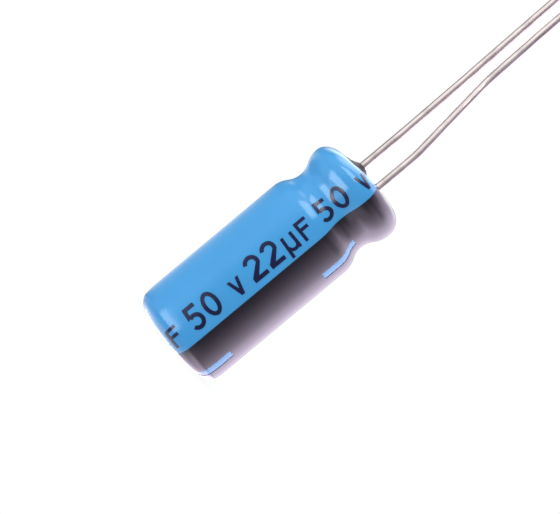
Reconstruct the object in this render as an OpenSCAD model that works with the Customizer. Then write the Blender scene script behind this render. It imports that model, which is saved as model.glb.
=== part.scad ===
// Small radial electrolytic capacitor, standing on its closed end with its two leads up.
// Z = 0 is the underside of the sleeve, the Z axis is the axis of the can,
// and the leads stand in the XZ plane: the negative lead at +X, the positive lead at -X.

/* [Can] */
// Outside diameter of the drawn aluminium can
can_d = 5; // [4.8:0.1:6.3]
// Length of the can from its closed end to the crest of its rim
can_l = 11.6; // [10.6:0.1:16]
// Thickness of the side wall
can_wall = 0.25; // [0.18:0.01:0.32]
// Thickness of the closed end
can_base_t = 0.3; // [0.2:0.01:0.5]
// Outside rounding between the wall and the closed end
can_corner_r = 0.5; // [0.4:0.02:0.7]
// Depth of the rolled bead that grips the bung
bead_depth = 0.4; // [0.25:0.01:0.45]
// Width of the bead, from wall to wall
bead_w = 2.66; // [2.3:0.02:2.9]
// Outside radius at the bottom of the bead's groove
bead_groove_r = 1.2; // [1:0.05:1.35]
// Straight stretch of wall between the bead and the rim
rim_straight = 0.04; // [0.02:0.01:0.6]
// Outside radius of the curled rim
rim_r = 0.75; // [0.6:0.01:0.8]
// How far the rim curls past its crest, in degrees
curl_over = 8; // [2:1:10]

/* [Sleeve] */
// Thickness of the heat-shrunk sleeve
sleeve_t = 0.09; // [0.06:0.01:0.14]
// Diameter of the round window that the sleeve leaves in the closed end
window_d = 3.1; // [2.4:0.05:3.5]
// How much further than the can's edge the sleeve reaches over the rim, in degrees
lip_extra = 3; // [0:1:6]

/* [Print] */
// Thickness of the printed ink
ink_t = 0.02; // [0.01:0.005:0.04]
// Length after which the whole print repeats
print_pitch = 7.55; // [7.3:0.05:9]
// Angle round the axis from the negative lead to the middle of the stripe
stripe_turn = 16; // [0:1:30]
// Angle that the polarity stripe takes up round the axis
stripe_sweep = 77; // [50:1:85]
// How far the stripe and the rating wrap under the closed end's corner, in degrees
ink_wrap = 60; // [40:1:64]
// Width of the clear windows along the stripe
dash_w = 0.47; // [0.3:0.01:0.8]
// Length of the clear windows
dash_l = 2.1; // [1.2:0.05:3]
// Height at which the lowest window ends
dash_top = 1.9; // [1.4:0.05:2.6]
// Angle round the axis from the middle of the stripe back to the middle of the rating
rating_turn = 59; // [55:1:90]
// Height above the closed end at which the rating starts
rating_start = 1.33; // [1.1:0.01:1.6]
// Height of the figures
figure_h = 1.2; // [0.9:0.05:1.4]
// Width of the figures
figure_w = 0.78; // [0.6:0.02:0.84]
// Height of the capital letter
capital_h = 0.97; // [0.8:0.01:1.2]
// Height of the small letters
small_h = 0.82; // [0.6:0.01:0.9]
// Width of the letters
letter_w = 0.62; // [0.5:0.01:0.7]
// How far the micro sign reaches below the line
micro_drop = 0.2; // [0.1:0.01:0.3]
// Width of a printed stroke
ink_stroke = 0.19; // [0.12:0.01:0.22]

/* [Bung] */
// Distance from the middle of the bead down to the bung's lower face
bung_below_bead = 1.2; // [0.8:0.05:1.3]
// How far the bung's middle stands above the sleeve's crest
pad_rise = 0.1; // [0.05:0.01:0.3]
// Rounding at the edge of the bung's middle
pad_edge_r = 0.2; // [0.1:0.01:0.3]
// Free gap between the bung's middle and the edge of the sleeve
pad_gap = 0.04; // [0.02:0.01:0.08]
// Diameter of the low collar round each lead
collar_d = 0.8; // [0.6:0.02:0.9]
// Height of the collars above the bung's middle
collar_rise = 0.1; // [0.05:0.01:0.2]

/* [Winding] */
// Free height between the winding and the bung
head_space = 0.6; // [0.5:0.05:1.2]
// Free gap between the taped winding and the can's wall
winding_gap = 0.1; // [0.05:0.01:0.3]
// Diameter of the hole that the winding pin leaves
core_d = 0.8; // [0.5:0.05:1.1]
// Thickness of the tape round the winding
tape_t = 0.05; // [0.03:0.01:0.1]
// Bare stretch of winding below and above the tape
tape_margin = 0.8; // [0.4:0.1:1.5]

/* [Tabs] */
// Diameter of the round aluminium boss that passes through the bung
boss_d = 0.9; // [0.7:0.02:1]
// How far the boss shows below the bung
boss_out = 0.4; // [0.3:0.01:0.45]
// Width of the flat paddle
paddle_w = 1.5; // [1:0.05:1.8]
// Thickness of the flat paddle
paddle_t = 0.2; // [0.12:0.01:0.3]
// Length of paddle rolled into the winding
paddle_grip = 4.5; // [3:0.1:5]
// Gap between the top of the paddle and the bung
paddle_drop = 0.1; // [0.05:0.01:0.2]

/* [Leads] */
// Distance between the two leads where they leave the bung
lead_pitch = 2; // [1.8:0.05:2.2]
// Diameter of the tinned wire
lead_d = 0.45; // [0.4:0.01:0.5]
// Depth below the sleeve's crest at which each wire is welded to its tab
weld_depth = 0.6; // [0.3:0.05:0.8]
// Diameter that each wire swells to at its weld
weld_d = 0.52; // [0.5:0.01:0.6]
// Height above the collars at which the swelling ends
foot_out = 0.05; // [0.02:0.01:0.1]
// Height of the positive lead above the sleeve's crest
positive_h = 20; // [12:0.5:25]
// Height of the negative lead above the sleeve's crest
negative_h = 15; // [12:0.5:25]
// Radius of the soft bends along the wires' middle line
bend_r = 6; // [3:0.5:8]

/* [Fits] */
// Gap left between pieces that press on each other
fit_gap = 0.01; // [0.005:0.005:0.02]

/* [Hidden] */
$fn = 64;

// Largest turn between two neighbouring points of a round profile, in degrees
arc_step = 7.5;
// Turn between two neighbouring points of a printed curve, in degrees
ink_step = 15;
// Share of a step below which an arc's end falls on its last full step
least_step = 0.01;
// Turn between two neighbouring rings of a bent wire, in degrees, and points round each ring
bend_step = 1.5;
wire_sides = 24;
// Step in from the round stretch to the swept tube, so that its corners stay inside
wire_step = 0.001;
// Overlap that lets a cutting shape reach past the piece it cuts
past = 1;

can_r = can_d / 2;
// Distance from the can's surface to the sleeve's inner and outer surfaces
sleeve_in = fit_gap;
sleeve_out = sleeve_in + sleeve_t;
// Underside of the can, its inner floor and corner, and the crest of its rim
can_z = sleeve_out;
floor_z = can_z + can_base_t;
inner_corner_r = can_corner_r - can_wall;
crest_z = can_z + can_l;
// Seating plane: the highest ring of the sleeve, round the bung
seat_z = crest_z + sleeve_out;

// The corner and the rim turn about these two rings
turn_r = can_r - can_corner_r;
rim_turn_r = can_r - rim_r;
rim_z = crest_z - rim_r;

// The bead is two outer shoulders with a groove between, each arc tangent to the next
bead_z = rim_z - rim_straight - bead_w / 2;
bead_angle = 2 * atan(2 * bead_depth / bead_w);
bead_arcs = bead_w / 2 / sin(bead_angle);
shoulder_r = bead_arcs - bead_groove_r;

// Length along the surface that the bead adds to its straight width
bead_extra = 2 * bead_arcs * bead_angle * PI / 180 - bead_w;

lip_over = curl_over + lip_extra;
bung_z = bead_z - bung_below_bead;
bung_out = can_wall + fit_gap;
pad_r = rim_turn_r - (rim_r + sleeve_out) * sin(lip_over) - pad_gap;
pad_z = seat_z + pad_rise;
shelf_z = rim_z + (rim_r - bung_out) * cos(curl_over);

weld_z = seat_z - weld_depth;
collar_z = pad_z + collar_rise;
foot_z = collar_z + foot_out;
tape_r = can_r - can_wall - winding_gap;
winding_r = tape_r - tape_t - fit_gap;
// The winding's lower edge rests on the round of the can's inner corner
winding_reach = max(0, winding_r + fit_gap - turn_r);
winding_z = floor_z + fit_gap + inner_corner_r - sqrt(inner_corner_r ^ 2 - winding_reach ^ 2);
winding_top = bung_z - head_space;
boss_z = bung_z - boss_out;
paddle_top = bung_z - paddle_drop;
paddle_z = winding_top - paddle_grip;

rating_angle = stripe_turn - rating_turn;
swept_r = lead_d / 2 - wire_step;

// The leads' routes above the sleeve's crest: sideways place as a share of half the pitch, then height
negative_route = [[1, 2.3], [0.13, 7.3], [-0.02, 10.4], [-0.12, negative_h]];
positive_route = [[-1, 2.6], [-1.09, 6.4], [-1.62, positive_h]];

// Figures and letters of one printed rating, each with its start along the print and its width
figure_gap = 0.19;
rating = [
    ["5", 0, figure_w],
    ["0", figure_w + figure_gap, figure_w],
    ["v", 2.45, letter_w],
    ["2", 3.5, figure_w],
    ["2", 3.5 + figure_w + figure_gap, figure_w],
    ["u", 5.54, letter_w],
    ["F", 6.4, letter_w]
];

function reverse(points) = [for (i = [len(points) - 1:-1:0]) points[i]];

// Points on an oval arc about a centre, a full step apart except at its end
function oval(centre, rx, ry, from, to, step) =
    let (span = abs(to - from), last = ceil(span / step - least_step))
    [
        for (i = [0:last])
            let (a = from + sign(to - from) * min(i * step, span))
                centre + [rx * cos(a), ry * sin(a)]
    ];

function arc(centre, r, from, to) = oval(centre, r, r, from, to, arc_step);

// The same arc without its first point, for an arc that carries on from another
function next_arc(centre, r, from, to) =
    let (points = arc(centre, r, from, to))
    [for (i = [1:len(points) - 1]) points[i]];

// Outline of the wall from the bead to a given turn of the rim, at a distance outside the can's surface
function wall_line(out, turn) = concat(
    arc([can_r - shoulder_r, bead_z - bead_w / 2], shoulder_r + out, 0, bead_angle),
    next_arc([can_r - bead_depth + bead_groove_r, bead_z], bead_groove_r - out, 180 + bead_angle, 180 - bead_angle),
    next_arc([can_r - shoulder_r, bead_z + bead_w / 2], shoulder_r + out, -bead_angle, 0),
    arc([rim_turn_r, rim_z], rim_r + out, 0, turn)
);

// Outline of the closed end's corner, from a given turn below the wall
function corner_line(out, turn) =
    reverse(arc([turn_r, can_z + can_corner_r], can_corner_r + out, 0, -turn));

// Height on the can of a point of the flat print, which follows the bead and the rim
function laid(s) =
    let (bead_low = bead_z - bead_w / 2, rim_low = rim_z + bead_extra, rim_out = rim_r + sleeve_out)
    s < bead_low ? s
    : s < bead_low + bead_w + bead_extra ? bead_low + (s - bead_low) * bead_w / (bead_w + bead_extra)
    : s < rim_low ? s - bead_extra
    : rim_z + rim_out * sin(min(90, (s - rim_low) / rim_out * 180 / PI));

// Thin skin lying on the sleeve, turned through an angle about the axis
module ink_skin(sweep, rim_turn) {
    rotate([0, 0, -sweep / 2])
        rotate_extrude(angle = sweep)
            polygon(concat(
                corner_line(sleeve_out + ink_t, ink_wrap),
                wall_line(sleeve_out + ink_t, rim_turn),
                reverse(wall_line(sleeve_out, rim_turn)),
                reverse(corner_line(sleeve_out, ink_wrap))
            ));
}

// Part of an oval ring of one stroke's width
module ring_part(centre, rx, ry, from, to) {
    polygon(concat(
        oval(centre, rx, ry, from, to, ink_step),
        reverse(oval(centre, rx - ink_stroke, ry - ink_stroke, from, to, ink_step))
    ));
}

module figure_five(w) {
    bowl = 0.33 * figure_h;
    ring_part([w / 2, bowl], w / 2, bowl, -150, 128);
    polygon([
        [0.1 * w, 0.5 * figure_h], [0.1 * w + ink_stroke, 0.57 * figure_h],
        [0.16 * w + ink_stroke, figure_h], [0.16 * w, figure_h]
    ]);
    translate([0.16 * w, figure_h - ink_stroke])
        square([0.78 * w, ink_stroke]);
}

module figure_zero(w) {
    centre = [w / 2, figure_h / 2];
    difference() {
        polygon(oval(centre, w / 2, figure_h / 2, 0, 360 - ink_step, ink_step));
        polygon(oval(centre, w / 2 - ink_stroke, figure_h / 2 - ink_stroke, 0, 360 - ink_step, ink_step));
    }
}

module figure_two(w) {
    bowl = 0.32 * figure_h;
    turn = 25;
    centre = [w / 2, figure_h - bowl];
    ring_part(centre, w / 2, bowl, -turn, 165);
    polygon([
        [0, 0], [1.4 * ink_stroke, 0.7 * ink_stroke],
        centre + [w / 2 * cos(turn), -bowl * sin(turn)],
        centre + [(w / 2 - ink_stroke) * cos(turn), -(bowl - ink_stroke) * sin(turn)],
        [0, 1.2 * ink_stroke]
    ]);
    square([w, ink_stroke]);
}

module letter_v(w) {
    foot = 0.55 * ink_stroke;
    polygon([
        [0, small_h], [w / 2 - foot, 0], [w / 2 + foot, 0], [w, small_h],
        [w - ink_stroke, small_h], [w / 2, 2 * ink_stroke], [ink_stroke, small_h]
    ]);
}

module letter_micro(w) {
    bowl = 0.35 * small_h;
    ring_part([w / 2, bowl], w / 2, bowl, 180, 360);
    translate([w - ink_stroke, 0])
        square([ink_stroke, small_h]);
    polygon([
        [-0.5 * ink_stroke, -micro_drop], [0.5 * ink_stroke, -micro_drop],
        [ink_stroke, small_h], [0, small_h]
    ]);
}

module letter_f(w) {
    square([ink_stroke, capital_h]);
    translate([0, capital_h - ink_stroke])
        square([w, ink_stroke]);
    translate([0, 0.48 * capital_h])
        square([0.85 * w, ink_stroke]);
}

module character(name, w) {
    if (name == "5") figure_five(w);
    if (name == "0") figure_zero(w);
    if (name == "2") figure_two(w);
    if (name == "v") letter_v(w);
    if (name == "u") letter_micro(w);
    if (name == "F") letter_f(w);
}

module sleeve() {
    color([0.29, 0.63, 0.9])
        rotate_extrude()
            polygon(concat(
                [[window_d / 2, 0]],
                corner_line(sleeve_out, 90),
                wall_line(sleeve_out, 90 + lip_over),
                reverse(wall_line(sleeve_in, 90 + lip_over)),
                reverse(corner_line(sleeve_in, 90)),
                [[window_d / 2, can_z - sleeve_in]]
            ));
}

module stripe_print() {
    color([0.17, 0.13, 0.16])
        rotate([0, 0, stripe_turn])
            difference() {
                ink_skin(stripe_sweep, 90);
                for (top = [dash_top:print_pitch:can_l])
                    translate([turn_r, -dash_w / 2, top - dash_l])
                        cube([can_r, dash_w, dash_l]);
            }
}

module rating_print() {
    rim_turn = 60;
    print_sweep = 50;
    color([0.1, 0.12, 0.27])
        rotate([0, 0, rating_angle])
            intersection() {
                ink_skin(print_sweep, rim_turn);
                for (start = [rating_start - print_pitch:print_pitch:can_l])
                    for (mark = rating) {
                        low = laid(start + mark[1]);
                        high = laid(start + mark[1] + mark[2]);
                        if (high > can_corner_r && low < rim_z + rim_r / 2)
                            translate([0, 0, low])
                                rotate([180, -90, 0])
                                    translate([0, -figure_h / 2, rim_turn_r])
                                        linear_extrude(can_r)
                                            character(mark[0], high - low);
                    }
            }
}

module can() {
    color([0.8, 0.81, 0.83])
        rotate_extrude()
            polygon(concat(
                [[0, can_z]],
                corner_line(0, 90),
                wall_line(0, 90 + curl_over),
                reverse(wall_line(-can_wall, 90 + curl_over)),
                reverse(arc([turn_r, floor_z + inner_corner_r], inner_corner_r, -90, 0)),
                [[0, floor_z]]
            ));
}

module bung() {
    color([0.2, 0.17, 0.2])
        difference() {
            union() {
                rotate_extrude() {
                    intersection() {
                        polygon(concat(
                            [[0, bead_z - bead_w]],
                            [[can_r - bung_out, bead_z - bead_w]],
                            wall_line(-bung_out, 90 + curl_over),
                            [[0, shelf_z]]
                        ));
                        translate([0, bung_z])
                            square([can_r, can_l]);
                    }
                    polygon(concat(
                        [[0, bung_z], [pad_r, bung_z]],
                        arc([pad_r - pad_edge_r, pad_z - pad_edge_r], pad_edge_r, 0, 90),
                        [[0, pad_z]]
                    ));
                }
                for (side = [-1, 1])
                    translate([side * lead_pitch / 2, 0, bung_z])
                        cylinder(d = collar_d, h = collar_z - bung_z);
            }
            for (side = [-1, 1])
                translate([side * lead_pitch / 2, 0, 0]) {
                    translate([0, 0, bung_z - past])
                        cylinder(d = boss_d + 2 * fit_gap, h = weld_z + fit_gap - bung_z + past);
                    translate([0, 0, weld_z])
                        cylinder(d1 = weld_d + 2 * fit_gap, d2 = lead_d + 2 * fit_gap, h = foot_z - weld_z);
                }
        }
}

module winding() {
    color([0.75, 0.68, 0.5])
        difference() {
            translate([0, 0, winding_z])
                cylinder(r = winding_r, h = winding_top - winding_z);
            translate([0, 0, winding_z - past])
                cylinder(d = core_d, h = winding_top - winding_z + 2 * past);
            for (side = [-1, 1])
                translate([
                    side * lead_pitch / 2 - paddle_t / 2 - fit_gap,
                    -paddle_w / 2 - fit_gap,
                    paddle_z - fit_gap
                ])
                    cube([paddle_t + 2 * fit_gap, paddle_w + 2 * fit_gap, paddle_grip + past]);
        }
}

module winding_tape() {
    color([0.9, 0.85, 0.6])
        translate([0, 0, winding_z + tape_margin])
            difference() {
                cylinder(r = tape_r, h = winding_top - winding_z - 2 * tape_margin);
                translate([0, 0, -past])
                    cylinder(r = tape_r - tape_t, h = winding_top - winding_z + past);
            }
}

// Aluminium tab: a round boss on top, pressed flat below into a paddle
module tab(side) {
    color([0.78, 0.79, 0.81])
        translate([side * lead_pitch / 2, 0, 0]) {
            translate([0, 0, boss_z])
                cylinder(d = boss_d, h = weld_z - boss_z);
            translate([-paddle_t / 2, -paddle_w / 2, paddle_z])
                cube([paddle_t, paddle_w, paddle_top - paddle_z]);
        }
}

module positive_tab() {
    tab(-1);
}

module negative_tab() {
    tab(1);
}

// Lean from upright, towards -X, of the stretch between two points of a route
function lean(a, b) = atan2(a[0] - b[0], b[1] - a[1]);

// Stations along the soft bend at corner b, each with its place and its lean
function bend_stations(a, b, c) =
    let (
        from = lean(a, b),
        turn = lean(b, c) - from,
        reach = bend_r * tan(abs(turn) / 2),
        pull = sign(turn) * bend_r,
        centre = b + reach * [sin(from), -cos(from)] - pull * [cos(from), sin(from)],
        n = ceil(abs(turn) / bend_step)
    )
    [for (i = [0:n]) let (at = from + turn * i / n) concat(centre + pull * [cos(at), sin(at)], at)];

// Ring of points round the wire at a station, measured from the first station
function wire_ring(station, first) = [
    for (j = [0:wire_sides - 1])
        let (across = swept_r * cos(360 * j / wire_sides), side = swept_r * sin(360 * j / wire_sides))
            [
                station[0] - first[0] + across * cos(station[2]),
                side,
                station[1] - first[1] + across * sin(station[2])
            ]
];

// Wire in the XZ plane: a round stretch from its weld to its first bend, then a swept tube
module wire(points) {
    last = len(points) - 1;
    stations = concat(
        [for (i = [1:last - 1]) each bend_stations(points[i - 1], points[i], points[i + 1])],
        [concat(points[last], lean(points[last - 1], points[last]))]
    );
    first = stations[0];
    rings = len(stations);
    translate([first[0], 0, first[1]]) {
        rotate_extrude()
            polygon([
                [0, points[0][1] - first[1]],
                [weld_d / 2, points[0][1] - first[1]],
                [lead_d / 2, foot_z - first[1]],
                [lead_d / 2, 0],
                [0, 0]
            ]);
        polyhedron(
            points = [for (station = stations) each wire_ring(station, first)],
            faces = concat(
                [[for (j = [0:wire_sides - 1]) j]],
                [[for (j = [wire_sides - 1:-1:0]) (rings - 1) * wire_sides + j]],
                [for (i = [0:rings - 2]) for (j = [0:wire_sides - 1]) each wire_facets(i * wire_sides, j)]
            )
        );
    }
}

// The two triangles between neighbouring points of one ring and the ring above it
function wire_facets(ring_start, j) =
    let (a = ring_start + j, b = ring_start + (j + 1) % wire_sides)
    [[a, a + wire_sides, b], [b, a + wire_sides, b + wire_sides]];

// Points of a lead from its weld up, from a route above the sleeve's crest
function lead_points(route) = concat(
    [[route[0][0] * lead_pitch / 2, weld_z]],
    [for (p = route) [p[0] * lead_pitch / 2, seat_z + p[1]]]
);

module positive_lead() {
    color([0.83, 0.83, 0.85])
        wire(lead_points(positive_route));
}

module negative_lead() {
    color([0.83, 0.83, 0.85])
        wire(lead_points(negative_route));
}

sleeve();
stripe_print();
rating_print();
can();
bung();
winding();
winding_tape();
positive_tab();
negative_tab();
positive_lead();
negative_lead();
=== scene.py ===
"""Looks of a small radial electrolytic capacitor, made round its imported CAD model.

The file is laid out as a Blender add-on. Each operator makes one piece or dresses a group of like
pieces, and the panel in the 3D view's sidebar lists them. Lengths in the formulas are millimetres,
and every mesh is put into metres as it is made.
"""

import math

import bpy
import numpy as np
from bpy.props import FloatProperty, FloatVectorProperty, PointerProperty
from bpy.types import Operator, Panel, PropertyGroup
from mathutils import Matrix, Vector


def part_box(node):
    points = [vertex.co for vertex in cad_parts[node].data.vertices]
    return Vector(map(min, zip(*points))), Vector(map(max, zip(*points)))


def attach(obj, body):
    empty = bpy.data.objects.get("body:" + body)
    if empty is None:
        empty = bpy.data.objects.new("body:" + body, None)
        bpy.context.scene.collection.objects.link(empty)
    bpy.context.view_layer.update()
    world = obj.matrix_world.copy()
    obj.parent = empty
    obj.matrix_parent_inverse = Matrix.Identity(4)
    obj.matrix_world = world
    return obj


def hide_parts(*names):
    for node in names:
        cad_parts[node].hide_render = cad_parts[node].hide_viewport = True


bl_info = {
    "name": "Electrolytic capacitor looks",
    "version": (1, 0, 0),
    "blender": (4, 5, 0),
    "location": "3D View > Sidebar > Capacitor",
    "description": "Sleeve, printing, bung, leads and studio of a small radial capacitor",
    "category": "Object",
}

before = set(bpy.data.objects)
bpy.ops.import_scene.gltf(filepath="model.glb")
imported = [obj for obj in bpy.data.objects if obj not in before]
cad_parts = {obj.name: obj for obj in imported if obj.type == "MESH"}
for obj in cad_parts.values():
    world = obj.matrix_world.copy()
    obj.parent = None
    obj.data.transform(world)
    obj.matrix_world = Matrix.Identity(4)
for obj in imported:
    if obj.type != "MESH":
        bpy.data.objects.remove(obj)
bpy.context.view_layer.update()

MM = 0.001
BODY = "root"
WHITE = (1.0, 1.0, 1.0, 1.0)

# The can's drawn outline
CAN_R = 2.5
CAN_Z = 0.1
CORNER_R = 0.5
TURN_R = 2.0
STRAIGHT_Z = 4.0
BEAD_Z = 9.58
BEAD_W = 2.66
BEAD_DEPTH = 0.4
GROOVE_R = 1.2
BEAD_ANGLE = math.degrees(2 * math.atan(2 * BEAD_DEPTH / BEAD_W))
SHOULDER_R = BEAD_W / 2 / math.sin(math.radians(BEAD_ANGLE)) - GROOVE_R
RIM_TURN_R = 1.75
RIM_Z = 10.95
RIM_R = 0.75
CURL_OVER = 8.0
CAN_WALL = 0.25
FLOOR_Z = 0.4

# How the two ends of the can and its sleeve lie out of true
LOW_TURN = -150.0
SAG_HALF_TURN = 132.0
SAG_SOFT_TURN = 80.0
SAG_Z = 10.7
DRAW_IN = 0.13
DRAW_IN_Z = 1.15

# The sleeve on the can
SLEEVE_IN = 0.01
SLEEVE_OUT = (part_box("sleeve")[1].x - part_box("can")[1].x) / MM
SLEEVE_R = CAN_R + SLEEVE_OUT
SLEEVE_EDGE = 0.045
WINDOW_R = 1.55
LIP_TURN = 101.0

# The printing on the sleeve
INK_T = 0.02
INK_SINK = 0.004
STRIPE_TURN = 16.0
STRIPE_SWEEP = 77.0
INK_WRAP = 60.0
PRINT_PITCH = 7.55
DASH_TOP = 1.9
RATING_ANGLE = -43.0
RATING_START = 1.33
FIGURE_H = 1.2
FIGURE_W = 0.78
CAPITAL_H = 0.97
SMALL_H = 0.82
LETTER_W = 0.62
MICRO_DROP = 0.2
INK_STROKE = 0.19
LETTER_STROKE = 0.8 * INK_STROKE

# Each printed character and its place along the print
RATING_MARKS = (("5", 0.0), ("0", 0.97), ("v", 2.45), ("2", 3.5), ("2", 4.47), ("u", 5.54), ("F", 6.4))

# The bung under the rim
BUNG_Z = 8.38
BUNG_OUT = 0.26
BUNG_POLE = 0.004
PAD_R = 1.54
PAD_EDGE = 0.14

# The leads, whose routes give steps aside in half pitches, and heights above the sleeve's crest
SEAT_Z = 11.8
LEAD_PITCH = 2.0
WELD_Z = 11.2
WELD_D = 0.52
FOOT_Z = 12.05
LEAD_D = 0.45
BEND_R = 6.0
LEAD_END_R = 0.05
LEAD_STEP = 0.06
DENTS = 34
NEGATIVE_ROUTE = ((1.0, 2.3), (0.13, 7.3), (-0.02, 10.4), (-0.12, 15.0))
POSITIVE_ROUTE = ((-1.0, 2.6), (-1.09, 6.4), (-1.62, 20.0))

# The photograph's view, and the point that it looks at: its height, and its distance aside
VIEW_AZIMUTH = -38.0
VIEW_ROLL = 39.8
VIEW_Z = 6.387
VIEW_ASIDE = 0.149


class SleeveSettings(PropertyGroup):
    """Sizes and colours of the shrunk sleeve."""

    colour: FloatVectorProperty(
        name="Blue", description="Colour of the sleeve", subtype="COLOR",
        size=3, min=0.0, max=1.0, default=(0.057, 0.372, 0.79),
    )
    roughness: FloatProperty(
        name="Roughness", description="Roughness of the sleeve and its printing",
        subtype="FACTOR", min=0.0, max=1.0, default=0.16,
    )
    rim_sag: FloatProperty(
        name="Rim sag", description="How much lower the curled rim lies on its low side",
        unit="LENGTH", min=0.0, max=0.0003, default=0.000168,
    )


class PrintSettings(PropertyGroup):
    """Sizes and colours of the printed stripe and rating."""

    stripe_colour: FloatVectorProperty(
        name="Stripe", description="Colour of the dark stripe", subtype="COLOR",
        size=3, min=0.0, max=1.0, default=(0.012, 0.009, 0.016),
    )
    rating_colour: FloatVectorProperty(
        name="Rating", description="Colour of the printed figures", subtype="COLOR",
        size=3, min=0.0, max=1.0, default=(0.002, 0.005, 0.052),
    )
    dash_width: FloatProperty(
        name="Dash width", description="Width of the minus dashes in the stripe, round the sleeve",
        unit="LENGTH", min=0.0002, max=0.001, default=0.00047,
    )
    dash_length: FloatProperty(
        name="Dash length", description="Length of the minus dashes in the stripe",
        unit="LENGTH", min=0.001, max=0.004, default=0.0021,
    )


class BungSettings(PropertyGroup):
    """Sizes and colour of the rubber bung."""

    colour: FloatVectorProperty(
        name="Rubber", description="Colour of the rubber", subtype="COLOR",
        size=3, min=0.0, max=1.0, default=(0.022, 0.014, 0.020),
    )
    pad_height: FloatProperty(
        name="Pad height", description="Height of the bung's flat face above the closed end",
        unit="LENGTH", min=0.0115, max=0.012, default=0.01176,
    )
    positive_cone: FloatProperty(
        name="Positive cone", description="Height of the rubber drawn up round the positive lead",
        unit="LENGTH", min=0.0115, max=0.0123, default=0.01214,
    )
    negative_cone: FloatProperty(
        name="Negative cone", description="Height of the rubber drawn up round the negative lead",
        unit="LENGTH", min=0.0115, max=0.0123, default=0.01182,
    )
    cone_radius: FloatProperty(
        name="Cone radius", description="Radius of the rubber's cones at their base",
        unit="LENGTH", min=0.0003, max=0.0015, default=0.0011,
    )


class MetalSettings(PropertyGroup):
    """Colours of the can, the tabs and the leads, and the winding's papers."""

    aluminium: FloatVectorProperty(
        name="Aluminium", description="Colour of the can", subtype="COLOR",
        size=3, min=0.0, max=1.0, default=(0.80, 0.81, 0.83),
    )
    tin: FloatVectorProperty(
        name="Tin", description="Colour of the tinned leads", subtype="COLOR",
        size=3, min=0.0, max=1.0, default=(0.88, 0.79, 0.78),
    )
    paper: FloatVectorProperty(
        name="Paper", description="Colour of the soaked winding paper", subtype="COLOR",
        size=3, min=0.0, max=1.0, default=(0.52, 0.40, 0.22),
    )
    nicks: FloatProperty(
        name="Nicks", description="Depth of the handling marks on the leads",
        unit="LENGTH", min=0.0, max=0.00003, default=0.000006,
    )


class StageSettings(PropertyGroup):
    """The photograph's view and the studio's light."""

    distance: FloatProperty(
        name="Distance", description="Distance from the camera to the capacitor's axis",
        unit="LENGTH", min=0.02, max=1.0, default=0.06,
    )
    lens: FloatProperty(
        name="Lens", description="Focal length on a 36 mm sensor, in millimetres",
        min=10.0, max=300.0, default=82.7,
    )
    surround: FloatProperty(
        name="Surround", description="Strength of the light from all round, where 1 is white",
        min=0.0, max=3.0, default=0.78,
    )
    key: FloatProperty(
        name="Key light", description="Strength of the soft lamp from the blue side, where 1 is white",
        min=0.0, max=12.0, default=1.6,
    )
    window: FloatProperty(
        name="Windows", description="Brightness of the windows seen in the gloss, where 1 is white",
        min=0.0, max=12.0, default=4.6,
    )


# Outlines


def arc(centre, radius, start, end, out, step):
    """Points along an arc, which runs from one angle to another in even steps.

    A point is the centre plus the radius, and the distance outside it, times the angle's cosine
    and sine. A hollow arc is given with a negative radius, and its outside is towards the centre.
    """
    count = int(math.ceil(abs(end - start) / step)) + 1
    angle = np.radians(np.linspace(start, end, count))
    reach = abs(radius + out)
    return np.array(centre) + reach * np.column_stack((np.cos(angle), np.sin(angle)))


def lengths_along(points):
    """Distance of each point of a flat line from its first point, measured along the line."""
    return np.concatenate(([0.0], np.cumsum(np.hypot(*np.diff(points, axis=0).T))))


def skin_line(out, corner_turn, rim_turn, step=2.5):
    """Half outline of the can's skin at a distance outside it, as length, radius and height.

    It runs up from the closed end's corner: a quarter arc, the straight wall, the bead's lower
    shoulder, its groove, its upper shoulder, and the rim's arc. Length is measured along the skin
    and equals the height on the straight wall.
    """
    shoulder, low, high = CAN_R - SHOULDER_R, BEAD_Z - BEAD_W / 2, BEAD_Z + BEAD_W / 2
    groove = (CAN_R - BEAD_DEPTH + GROOVE_R, BEAD_Z)
    wall_z = np.linspace(CAN_Z + CORNER_R, low, 40)[1:-1]
    points = np.vstack((
        arc((TURN_R, CAN_Z + CORNER_R), CORNER_R, -corner_turn, 0, out, step),
        np.column_stack((np.full(wall_z.size, CAN_R + out), wall_z)),
        arc((shoulder, low), SHOULDER_R, 0, BEAD_ANGLE, out, step),
        arc(groove, -GROOVE_R, 180 + BEAD_ANGLE, 180 - BEAD_ANGLE, out, step),
        arc((shoulder, high), SHOULDER_R, -BEAD_ANGLE, 0, out, step),
        arc((RIM_TURN_R, RIM_Z), RIM_R, 0, rim_turn, out, step),
    ))
    points = points[np.diff(lengths_along(points), prepend=-1.0) > 1e-6]
    length = lengths_along(points)
    on_wall = np.argmin(np.abs(points[:, 1] - STRAIGHT_Z))
    return np.column_stack((length + (points[on_wall, 1] - length[on_wall]), points))


def smooth_step(share):
    """Share between 0 and 1 with level ends: 3 times its square less 2 times its cube."""
    share = np.clip(share, 0.0, 1.0)
    return share * share * (3.0 - 2.0 * share)


def rim_drop(turn, height, sag):
    """How far the rim lies below its drawn height, at turns about the axis and heights.

    It is the sag times a smooth hump round the low side, with two small ripples, times a smooth
    rise from nothing above the bead to all of it on the rim's crest.
    """
    away = (turn - LOW_TURN + 180.0) % 360.0 - 180.0
    hump = smooth_step((SAG_HALF_TURN - np.abs(away)) / SAG_SOFT_TURN)
    ripple = 0.06 * np.sin(np.radians(5 * turn + 40)) + 0.04 * np.sin(np.radians(11 * turn + 130))
    return sag * np.clip(hump + ripple, 0.0, 1.1) * smooth_step(height - SAG_Z)


def draw_in(height):
    """How far the closed end draws in from the drawn outline: a square law below its top height."""
    return DRAW_IN * np.clip((DRAW_IN_Z - height) / DRAW_IN_Z, 0.0, 1.0) ** 2


def points_of(x, y, z):
    """Points from arrays of their three coordinates, which are spread to one common grid."""
    return np.stack(np.broadcast_arrays(x, y, z), axis=-1)


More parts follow.
